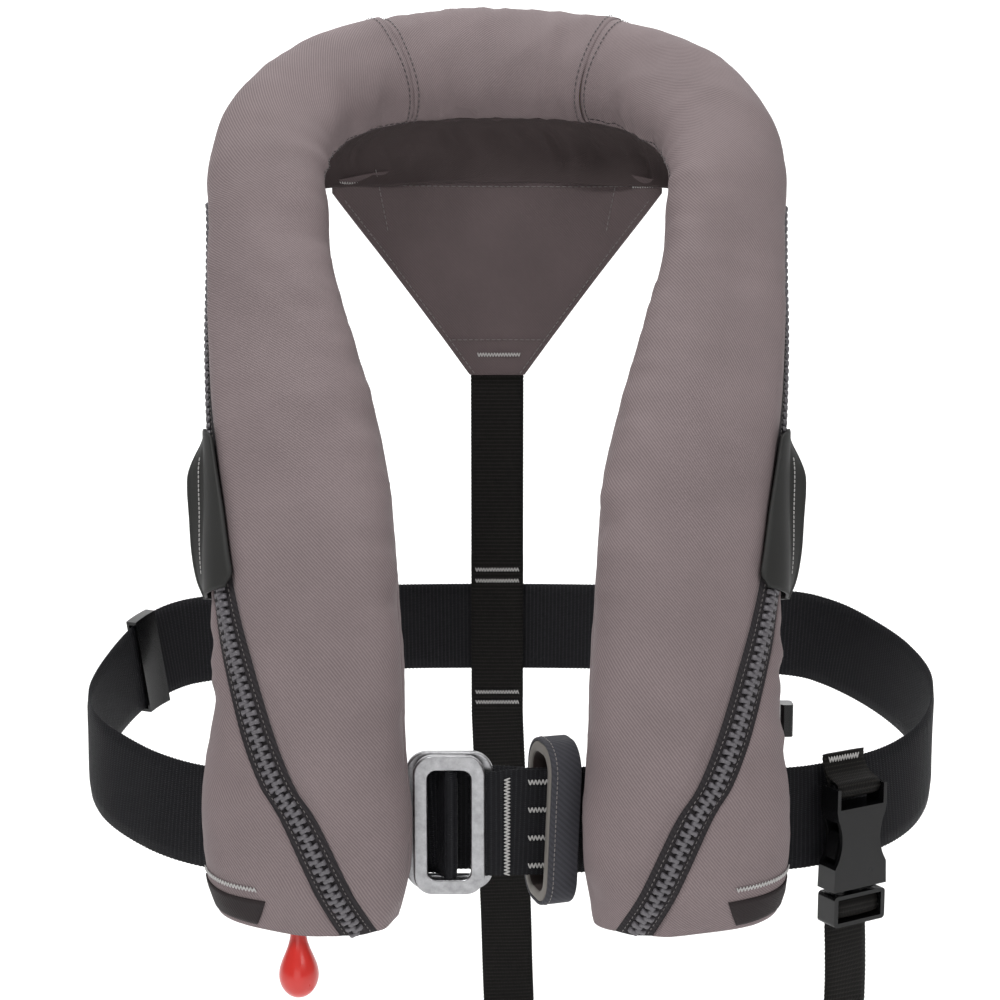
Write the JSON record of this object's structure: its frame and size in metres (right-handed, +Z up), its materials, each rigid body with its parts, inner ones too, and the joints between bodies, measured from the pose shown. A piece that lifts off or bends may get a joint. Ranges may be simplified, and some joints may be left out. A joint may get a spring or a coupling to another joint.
{
  "type": "inflatable life jacket",
  "caption": "Folded inflatable life jacket worn round the neck, with zipped cover lobes, a waist belt, a crotch strap and a gas inflator worked by a pull toggle.",
  "frame": {"origin": "middle of the neck opening, level with the shoulders that carry the jacket", "axes": "+X to the wearer's left, -Y to the wearer's front, +Z up"},
  "size_m": [0.4384, 0.2888, 0.7165],
  "materials": {
    "cover_fabric": "fine woven nylon, soft sheen",
    "lining_fabric": "fine woven nylon, matt",
    "panel_fabric": "fine woven nylon, matt",
    "zip_tape": "woven tape",
    "zip_teeth": "moulded",
    "tab_rubber": "satin",
    "black_plastic": "moulded",
    "red_plastic": "moulded",
    "orange_plastic": "moulded",
    "clear_lens": "clear",
    "cartridge": "pressed",
    "steel": "satin",
    "cord_fabric": "braided",
    "bladder_fabric": "coated, satin",
    "oral_rubber": "satin",
    "belt_webbing": "ribbed webbing",
    "strap_webbing": "ribbed webbing",
    "buckle_plastic": "moulded",
    "loop_webbing": "woven",
    "loop_lining": "padded"
  },
  "bodies": {
    "jacket": {"right_front_cover": "cover_fabric", "left_front_cover": "cover_fabric", "right_yoke_cover": "cover_fabric", "left_yoke_cover": "cover_fabric", "collar_cover": "cover_fabric", "right_back_cover": "lining_fabric", "left_back_cover": "lining_fabric", "collar_lining": "lining_fabric", "neck_curtain": "lining_fabric", "hem_panels": "lining_fabric", "back_panel": "panel_fabric", "right_zip_tape": "zip_tape", "left_zip_tape": "zip_tape", "right_zip_teeth": "zip_teeth", "left_zip_teeth": "zip_teeth", "right_side_tab": "tab_rubber", "left_side_tab": "tab_rubber", "inflator_body": "black_plastic", "bladder_manifold": "black_plastic", "light_unit": "black_plastic", "automatic_cap": "red_plastic", "whistle": "orange_plastic", "light_lens": "clear_lens", "water_cartridge": "cartridge", "rear_ring": "steel", "bladder": "bladder_fabric", "oral_tube": "oral_rubber", "waist_belt_back": "belt_webbing", "waist_belt_right_side": "belt_webbing", "waist_belt_right_front": "belt_webbing", "waist_belt_left_side": "belt_webbing", "waist_belt_left_front": "belt_webbing", "rear_ring_webbing": "belt_webbing", "back_strap": "strap_webbing", "back_belt_loop": "strap_webbing", "crotch_strap_back": "strap_webbing", "crotch_strap_front": "strap_webbing", "release_buckle_loop": "strap_webbing", "belt_keeper": "buckle_plastic", "cover_clip": "buckle_plastic", "harness_loop_sleeve": "loop_webbing", "harness_loop_lining": "loop_lining"},
    "pull": {"pull_toggle": "red_plastic", "pull_cord": "cord_fabric"},
    "lever": {"firing_lever": "black_plastic", "firing_cam": "steel", "lever_pin": "steel"},
    "pin": {"firing_pin": "steel", "pin_spring": "steel"},
    "cylinder": {"gas_cylinder": "steel"},
    "valve": {"oral_valve": "black_plastic"},
    "oral_cap": {"oral_tube_cap": "oral_rubber"},
    "front_ring": {"front_ring": "steel", "front_ring_webbing": "belt_webbing"},
    "release_buckle": {"release_buckle_female": "buckle_plastic", "release_buckle_male": "buckle_plastic", "release_strap": "strap_webbing"},
    "left_prong": {"release_prong_left": "buckle_plastic"},
    "right_prong": {"release_prong_right": "buckle_plastic"}
  },
  "joints": [
    {"name": "pull_slide", "type": "slide", "parent": "jacket", "child": "pull", "axis": [0, 0, -1], "range_m": [0, 0.02]},
    {"name": "lever_turn", "type": "hinge", "parent": "jacket", "child": "lever", "pos_m": [-0.07, -0.17986, -0.31028], "axis": [0, -0.9781, 0.2079], "range_deg": [0, 52]},
    {"name": "pin_slide", "type": "slide", "parent": "jacket", "child": "pin", "axis": [0, 0.2079, 0.9781], "range_m": [0, 0.0042]},
    {"name": "cylinder_screw", "type": "hinge", "parent": "jacket", "child": "cylinder", "pos_m": [-0.07, -0.173, -0.278], "axis": [0, 0.2079, 0.9781], "continuous": true},
    {"name": "valve_press", "type": "slide", "parent": "jacket", "child": "valve", "axis": [0, 0, 1], "range_m": [0, 0.0025], "stiffness_N_per_m": 200, "springref_m": -0.001},
    {"name": "cap_pull_off", "type": "slide", "parent": "jacket", "child": "oral_cap", "axis": [0, 0, -1], "range_m": [0, 0.008]},
    {"name": "ring_tilt", "type": "hinge", "parent": "jacket", "child": "front_ring", "pos_m": [-0.00525, -0.1625, -0.2912], "axis": [0, 0, 1], "range_deg": [0, 25]},
    {"name": "buckle_swing", "type": "hinge", "parent": "jacket", "child": "release_buckle", "pos_m": [0.169, -0.129, -0.284], "axis": [-0.866, -0.5, 0], "range_deg": [0, 25]},
    {"name": "left_prong_squeeze", "type": "hinge", "parent": "release_buckle", "child": "left_prong", "pos_m": [0.17762, -0.12402, -0.3338], "axis": [0.5, -0.866, 0], "range_deg": [0, 5], "stiffness_Nm_per_rad": 0.4},
    {"name": "right_prong_squeeze", "type": "hinge", "parent": "release_buckle", "child": "right_prong", "pos_m": [0.16038, -0.13398, -0.3338], "axis": [-0.5, 0.866, 0], "range_deg": [0, 5], "stiffness_Nm_per_rad": 0.4}
  ],
  "couplings": [
    {"joint": "lever_turn", "follows": "pull_slide", "rad_per_m": 43.6},
    {"joint": "pin_slide", "follows": "pull_slide", "ratio": 0.2}
  ]
}
